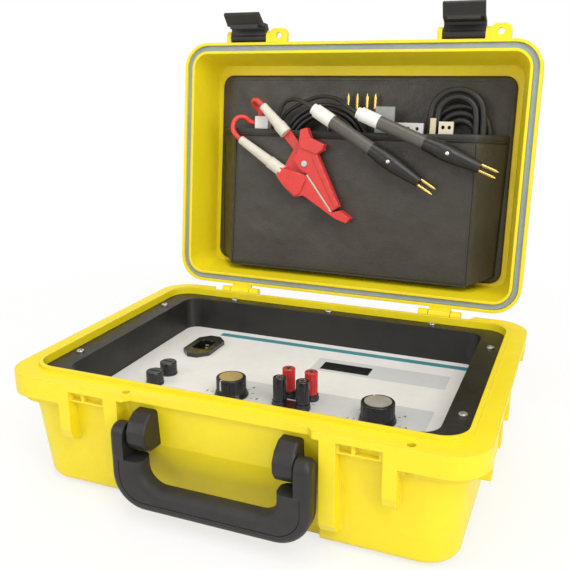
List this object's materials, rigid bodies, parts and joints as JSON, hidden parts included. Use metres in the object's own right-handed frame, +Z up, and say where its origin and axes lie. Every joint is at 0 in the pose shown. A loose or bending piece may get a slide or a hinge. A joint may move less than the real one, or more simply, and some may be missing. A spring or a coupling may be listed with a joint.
{
  "type": "portable low-resistance tester",
  "caption": "Portable electrical tester in a hinged waterproof case: recessed control panel below, lead pouch with clip, probes and mains cord in the lid.",
  "frame": {"origin": "middle of the base on the surface it stands on", "axes": "+X to the right seen from the front, +Y from the handle towards the hinges, +Z up"},
  "size_m": [0.38, 0.3647, 0.3859],
  "materials": {
    "case_yellow": "pebbled moulding",
    "black_plastic": "satin",
    "bezel_black": "fine texture",
    "gasket": "matt foam rubber",
    "steel": "bright",
    "panel": "printed satin",
    "display": "gloss",
    "board": "satin",
    "post_red": "gloss",
    "post_black": "gloss",
    "knob_black": "satin",
    "gold": "bright",
    "silver": "spun",
    "brass": "plated",
    "core": "varnished",
    "leatherette": "grained",
    "clip_red": "satin",
    "ivory": "satin",
    "probe_grey": "shrink tube",
    "lead_red": "satin",
    "lead_black": "satin",
    "fuse_glass": "clear"
  },
  "bodies": {
    "base": {"case_base": "case_yellow", "hinge_pins": "steel", "handle_brackets": "black_plastic", "handle_pins": "steel", "panel_bezel": "bezel_black", "bezel_screws": "steel", "face_panel": "panel", "display_module": "board", "display_window": "display", "ac_inlet": "black_plastic", "inlet_blades": "steel", "fuse_holders": "black_plastic", "fuse_links": "fuse_glass", "rotary_switches": "steel", "post_bases": "post_black", "post_studs": "brass", "circuit_board": "board", "board_standoffs": "brass", "transformer": "core"},
    "lid": {"case_lid": "case_yellow", "lid_gasket": "gasket", "latch_pins": "steel", "pouch_back": "leatherette", "pouch_pocket": "leatherette", "probe_left": "probe_grey", "probe_right": "probe_grey", "probe_collars": "ivory", "probe_pins": "gold", "probe_leads": "lead_black", "probe_coils": "lead_black", "clip_body": "clip_red", "clip_pin": "steel", "clip_contact": "silver", "clip_sleeves": "ivory", "lead_tag": "ivory", "red_leads": "lead_red", "red_lead_coil": "lead_red", "lead_plugs": "post_black", "adapter_cards": "ivory", "spare_tips": "gold", "power_cord": "lead_black", "power_connector": "lead_black", "power_plug": "lead_black"},
    "latch_left": {"latch_left": "black_plastic"},
    "latch_right": {"latch_right": "black_plastic"},
    "handle": {"handle_frame": "black_plastic", "handle_grip": "gasket"},
    "knob_left": {"knob_left": "knob_black", "knob_inlay_left": "gold", "switch_shaft_left": "steel"},
    "knob_right": {"knob_right": "knob_black", "knob_inlay_right": "silver", "switch_shaft_right": "steel"},
    "fuse_cap_rear": {"fuse_cap_rear": "black_plastic"},
    "fuse_cap_front": {"fuse_cap_front": "black_plastic"},
    "clip_jaw": {"clip_jaw": "clip_red"},
    "post_cap_black_left": {"post_cap_black_left": "post_black"},
    "post_cap_black_right": {"post_cap_black_right": "post_black"},
    "post_cap_red_left": {"post_cap_red_left": "post_red"},
    "post_cap_red_right": {"post_cap_red_right": "post_red"}
  },
  "joints": [
    {"name": "lid_hinge", "type": "hinge", "parent": "base", "child": "lid", "pos_m": [0, 0.1324, 0.0978], "axis": [1, 0, 0], "range_deg": [0, 97]},
    {"name": "latch_left_hinge", "type": "hinge", "parent": "lid", "child": "latch_left", "pos_m": [-0.108, 0.16898, 0.35718], "axis": [1, 0, 0], "range_deg": [-85, 0]},
    {"name": "latch_right_hinge", "type": "hinge", "parent": "lid", "child": "latch_right", "pos_m": [0.108, 0.16898, 0.35718], "axis": [1, 0, 0], "range_deg": [-65, 20]},
    {"name": "handle_hinge", "type": "hinge", "parent": "base", "child": "handle", "pos_m": [0, -0.143, 0.071], "axis": [-1, 0, 0], "range_deg": [0, 90]},
    {"name": "knob_left_turn", "type": "hinge", "parent": "base", "child": "knob_left", "pos_m": [-0.033, -0.041, 0.07], "axis": [0, 0, 1], "range_deg": [-150, 150]},
    {"name": "knob_right_turn", "type": "hinge", "parent": "base", "child": "knob_right", "pos_m": [0.0945, -0.042, 0.07], "axis": [0, 0, 1], "range_deg": [-150, 150]},
    {"name": "fuse_cap_rear_turn", "type": "hinge", "parent": "base", "child": "fuse_cap_rear", "pos_m": [-0.106, -0.021, 0.07], "axis": [0, 0, 1], "range_deg": [0, 60]},
    {"name": "fuse_cap_front_turn", "type": "hinge", "parent": "base", "child": "fuse_cap_front", "pos_m": [-0.106, -0.044, 0.07], "axis": [0, 0, 1], "range_deg": [0, 60]},
    {"name": "post_cap_black_left_turn", "type": "hinge", "parent": "base", "child": "post_cap_black_left", "pos_m": [0.0125, -0.044, 0.08], "axis": [0, 0, 1], "range_deg": [0, 360]},
    {"name": "post_cap_black_right_turn", "type": "hinge", "parent": "base", "child": "post_cap_black_right", "pos_m": [0.0325, -0.044, 0.08], "axis": [0, 0, 1], "range_deg": [0, 360]},
    {"name": "post_cap_red_left_turn", "type": "hinge", "parent": "base", "child": "post_cap_red_left", "pos_m": [0.0125, -0.024, 0.08], "axis": [0, 0, 1], "range_deg": [0, 360]},
    {"name": "post_cap_red_right_turn", "type": "hinge", "parent": "base", "child": "post_cap_red_right", "pos_m": [0.0325, -0.024, 0.08], "axis": [0, 0, 1], "range_deg": [0, 360]},
    {"name": "clip_jaw_hinge", "type": "hinge", "parent": "lid", "child": "clip_jaw", "pos_m": [-0.042, 0.15889, 0.23399], "axis": [0, -0.9925, 0.1219], "range_deg": [0, 15], "stiffness_Nm_per_rad": 0.3, "springref_deg": -17.19}
  ]
}
